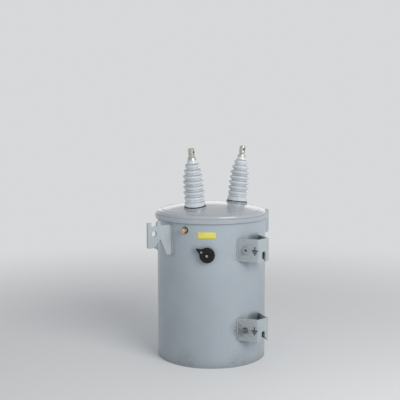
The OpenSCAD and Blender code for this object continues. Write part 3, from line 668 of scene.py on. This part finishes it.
# profile from the shank's end up to the cap, round at each rim and in each hollow
def bushingLine():
    look = bushing
    shank = [Vector((look["shank"], -look["shankLength"])), Vector((look["shank"], 0.0))]
    wide = look["rims"][0]
    line = [(wide - look["footInset"], 0.0), (wide, look["footRise"])]
    line.append((wide, look["first"] - look["footTop"]))
    below = None
    for i, (rim, hollow) in enumerate(zip(look["rims"], look["hollows"])):
        spot = look["first"] + i * look["pitch"]
        if below is not None:
            line += [(below + (rim - below) * share, spot - drop) for share, drop in look["below"][::-1]]
        line.append((rim, spot))
        line += [(hollow + (rim - hollow) * share, spot + rise) for share, rise in look["above"]]
        line.append((hollow, spot + look["notch"]))
        below = hollow
    return shank + smoothLine(line + [(look["cap"], look["top"])])


# how much painted shade lies at each height: most of it just above the rims
def bushingShade(line):
    look = bushing
    rims = [look["first"] + i * look["pitch"] for i in range(len(look["rims"]))]
    dirtAndShade = []
    for radius, height in line:
        apart = min(abs(height - rim - look["shadeAbove"]) for rim in rims)
        dirtAndShade.append(max(0.0, 1 - apart / look["shadeWide"]))
    return dirtAndShade


def turned(line, place, sides):
    points, faces = [], []
    for radius, height in line:
        for k in range(sides):
            a = 2 * pi * k / sides
            points.append(place @ Vector((radius * cos(a), radius * sin(a), height)))
    for i in range(len(line) - 1):
        for k in range(sides):
            a, b = i * sides + k, i * sides + (k + 1) % sides
            faces.append((a, b, b + sides, a + sides))
    faces += [tuple(range(sides)), tuple((len(line) - 1) * sides + k for k in range(sides))]
    return points, faces


profile = bushingLine()
shadeLevels = [dirtAndShade for dirtAndShade in bushingShade(profile) for k in range(bushing["sides"])]
lean = Matrix.Rotation(radians(bushing["lean"]), 4, "Y")
lift = Matrix.Translation((0, 0, bushing["lift"]))
onCover = Matrix.Translation((bushing["out"], 0, bushing["height"]))
for name, turn in (("left", 180 - bushing["turn"]), ("right", bushing["turn"])):
    place = Matrix.Rotation(radians(turn), 4, "Z") @ onCover @ lean @ lift
    piece = newPiece(name + "Porcelain", [turned(profile, place, bushing["sides"])], porcelain)
    # strength of the painted shade above the rims, for each point
    paintedShade = piece.data.attributes.new("paintedShade", "FLOAT", "POINT")
    paintedShade.data.foreach_set("value", shadeLevels)
    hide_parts("hv_bushing_" + name)
print("bushings made")

# tap changer: raised ring and pointer rib on the handle, slots in the hub's screw and in the locking screw
handle = {
    "ring": 0.0185, "ringOut": 0.013, "ringWire": 0.0008,
    "ribFrom": 0.0275, "ribTo": 0.0420, "ribOut": 0.010, "ribWire": 0.0012,
}
hubSlot = {"out": 0.02302, "wide": 0.0066, "tall": 0.0011, "deep": 0.00008, "askew": 0.6}
lockSlot = {"along": 0.023, "out": 0.01402, "wide": 0.0052, "tall": 0.0010, "deep": 0.00008}


# a place on the handle: along its pointer, to the pointer's left as seen from outside, and out of the tank
def onHandle(along, side, out):
    a = radians(dial["pointer"])
    across, rise = along * cos(a) - side * sin(a), along * sin(a) + side * cos(a)
    return onWall(dial["turn"], dial["height"] + rise, dial["back"] + out, across)


hub = onHandle(0, 0, 0)
right = (onHandle(0.01, 0, 0) - hub).normalized()
rise = (onHandle(0, 0.01, 0) - hub).normalized()
outward = (onHandle(0, 0, 0.01) - hub).normalized()
ringLine = circle(onHandle(0, 0, handle["ringOut"]), right, rise, handle["ring"])
ribStart, ribEnd = (onHandle(handle[end], 0, handle["ribOut"]) for end in ("ribFrom", "ribTo"))
raised = [
    bead(ringLine, handle["ringWire"], ripple=0.0, closed=True),
    bead(straight(ribStart, ribEnd), handle["ribWire"], ripple=0.0),
]
newPiece("handleRibs", raised, plastic, "tap_changer")

slotRight = (right + rise * hubSlot["askew"]).normalized()
slotUp = (rise - right * hubSlot["askew"]).normalized()
hubPlace, lockPlace = onHandle(0, 0, hubSlot["out"]), onHandle(lockSlot["along"], 0, lockSlot["out"])
slots = [
    block(hubPlace, slotRight, slotUp, outward, hubSlot["wide"], hubSlot["tall"], hubSlot["deep"]),
    block(lockPlace, rise, -right, outward, lockSlot["wide"], lockSlot["tall"], lockSlot["deep"]),
]
newPiece("screwSlots", slots, gasket, "tap_changer", smooth=False)

# relief valve: sealing ring between its hexagon and the seat
seal = {"out": 0.2032, "radius": 0.0106, "wire": 0.0013}
sealMiddle = onWall(valve["turn"], valve["height"], seal["out"])
sealLine = circle(sealMiddle, onWall(valve["turn"], 0, 0, 1), upward, seal["radius"])
newPiece("valveSeal", [bead(sealLine, seal["wire"], ripple=0.0, closed=True)], gasket)


# ridge of a screw thread along a shank, running out at both ends
def thread(start, end, radius, pitch, depth, perTurn=20, runOut=12):
    points, faces = [], []
    axis = (end - start).normalized()
    side = axis.cross(Vector((0.2, 0.3, 1))).normalized()
    other = axis.cross(side)
    steps = int((end - start).length / pitch * perTurn)
    for i in range(steps + 1):
        a = 2 * pi * i / perTurn
        spoke = side * cos(a) + other * sin(a)
        fade = min(1.0, i / runOut, (steps - i) / runOut)
        spot = start + axis * (pitch * i / perTurn)
        half = axis * pitch * 0.42
        root = spoke * (radius - 0.0001)  # just inside the shank
        points += [spot - half + root, spot + spoke * (radius + depth * fade), spot + half + root]
        if i:
            a, b = 3 * i - 3, 3 * i
            faces += [(a, a + 1, b + 1, b), (a + 1, a + 2, b + 2, b + 1), (a + 2, a, b, b + 2)]
    return points, faces + [(0, 1, 2), (3 * steps, 3 * steps + 2, 3 * steps + 1)]


# band bolt: thread on its shank and a washer under each end
bandBolt = {
    "turn": 207, "height": 0.525, "out": 0.2158,
    "shank": 0.004, "threadFrom": -0.008, "threadTo": 0.0358, "pitch": 0.00125, "ridge": 0.0004,
    "washers": (0.0180, -0.0192), "bore": 0.0041, "washer": 0.0088, "washerThick": 0.0012,
}


def onBolt(across):
    return onWall(bandBolt["turn"], bandBolt["height"], bandBolt["out"], across)


def washer(middle, axis, inner, outer, thick, sides=48):
    side = axis.cross(upward).normalized()
    other = axis.cross(side)
    points, faces = [], []
    for k in range(sides):
        spoke = side * cos(2 * pi * k / sides) + other * sin(2 * pi * k / sides)
        near, far = middle + spoke * inner, middle + spoke * outer
        points += [near, far, far + axis * thick, near + axis * thick]
        a, b = 4 * k, 4 * ((k + 1) % sides)
        faces += [(a + i, a + (i + 1) % 4, b + (i + 1) % 4, b + i) for i in range(4)]
    return points, faces


boltAxis = (onBolt(1) - onBolt(0)).normalized()
ridge = thread(
    onBolt(bandBolt["threadFrom"]), onBolt(bandBolt["threadTo"]),
    bandBolt["shank"], bandBolt["pitch"], bandBolt["ridge"],
)
newPiece("bandBoltThread", [ridge], zinc)
ends = [
    washer(onBolt(across), boltAxis, bandBolt["bore"], bandBolt["washer"], bandBolt["washerThick"])
    for across in bandBolt["washers"]
]
newPiece("bandBoltWashers", ends, zinc, smooth=False)
print("small fittings made")

# floor, backdrop and light; the camera sees the pale floor, and the lamps' light meets the darker one
studio = {
    "floor": (0.44, 0.44, 0.435), "paleFloor": (0.93, 0.935, 0.94), "floorHalf": 5.0,
    "floorFrom": 0.7, "floorTo": 2.6,
    "backdrop": (0.68, 0.69, 0.70), "ambient": (0.94, 0.965, 1.0), "sides": 0.90, "ceiling": 0.27,
}


def makeFloor():
    half = studio["floorHalf"]
    corners = [Vector((x * half, y * half, 0)) for x, y in ((-1, -1), (1, -1), (1, 1), (-1, 1))]
    paint = Paint("floorPaint", IOR=1.4, Specular_IOR_Level=0.15, Roughness=0.8)
    tone = paint.noise(0.9, 3.0)
    apart = paint.node("ShaderNodeVectorMath", {"operation": "LENGTH"}, {0: paint.place}, "Value")
    pale = paint.mix(tone, tuple(c * 0.985 for c in studio["paleFloor"]), studio["paleFloor"])
    paint.feed(
        Base_Color=paint.mix(paint.seen(), studio["floor"], pale),
        Alpha=1 - apart.step(studio["floorFrom"], studio["floorTo"]),
    )
    floor = newPiece("floor", [(corners, [(0, 1, 2, 3)])], paint, "", False)


def makeWorld():
    world = bpy.data.worlds.new("studio")
    bpy.context.scene.world = world
    world.use_nodes = True
    world.node_tree.nodes.clear()
    tree = Tree(world.node_tree)
    backdrop = tree.node("ShaderNodeBackground", {}, {"Color": studio["backdrop"], "Strength": 1.0})
    place = tree.node("ShaderNodeTexCoord", output="Generated")
    above = tree.node("ShaderNodeSeparateXYZ", {}, {0: place}, 2).step(0.0, 0.9)  # from the horizon up
    level = studio["sides"] + above * (studio["ceiling"] - studio["sides"])
    dim = tree.node("ShaderNodeBackground", {}, {"Color": studio["ambient"], "Strength": level})
    both = tree.node("ShaderNodeMixShader", {}, {0: tree.seen(), 1: dim, 2: backdrop})
    out = world.node_tree.nodes.new("ShaderNodeOutputWorld")
    world.node_tree.links.new(both.socket, out.inputs[0])


# a broad lamp before the brackets, and a long faint one behind that edges the cover
lamps = [
    {
        "name": "mainLamp", "turn": 80, "distance": 2.7, "height": 1.7,
        "size": (1.8, 1.5), "power": 45.0, "colour": (1.0, 0.985, 0.96),
    },
    {
        "name": "backLamp", "turn": 214, "distance": 3.2, "height": 1.15,
        "size": (4.0, 0.7), "power": 4.6, "colour": (0.96, 0.98, 1.0),
    },
]
lampAim = Vector((0, 0, 0.35))


def makeLamps():
    for look in lamps:
        data = bpy.data.lights.new(look["name"], "AREA")
        data.shape = "RECTANGLE"
        data.size, data.size_y = look["size"]
        data.energy = look["power"]
        data.color = look["colour"]
        lamp = bpy.data.objects.new(look["name"], data)
        bpy.context.scene.collection.objects.link(lamp)
        lamp.location = onWall(look["turn"], look["height"], look["distance"])
        lamp.rotation_mode = "QUATERNION"
        lamp.rotation_quaternion = (lampAim - lamp.location).to_track_quat("-Z", "Y")


# camera at the photograph's viewing angle: its place, its aim off the tank's axis, its focal length
view = {
    "turn": 45.93, "distance": 3.01287, "height": 0.93305, "yaw": -0.801, "pitch": 6.701, "roll": -0.084,
    "pixels": 818.684, "pictureWide": 400, "sensor": 36.0,
}


def makeCamera():
    yaw, pitch, roll = radians(view["yaw"]), radians(view["pitch"]), radians(view["roll"])
    forward = Vector((sin(yaw) * cos(pitch), cos(yaw) * cos(pitch), -sin(pitch)))
    level = Vector((cos(yaw), -sin(yaw), 0))
    top = level.cross(forward)
    side = level * cos(roll) + top * sin(roll)
    top = top * cos(roll) - level * sin(roll)
    spin = Matrix.Rotation(radians(view["turn"] + 90), 3, "Z")
    basis = Matrix((spin @ side, spin @ top, -(spin @ forward))).transposed()
    data = bpy.data.cameras.new("camera")
    data.sensor_width = view["sensor"]
    data.lens = view["pixels"] / view["pictureWide"] * data.sensor_width
    camera = bpy.data.objects.new("camera", data)
    bpy.context.scene.collection.objects.link(camera)
    stand = onWall(view["turn"], view["height"], view["distance"])
    camera.matrix_world = Matrix.Translation(stand) @ basis.to_4x4()
    bpy.context.scene.camera = camera


makeFloor()
makeWorld()
makeLamps()
makeCamera()
bpy.context.scene.view_settings.view_transform = "Standard"
print("floor, lamps and camera made")
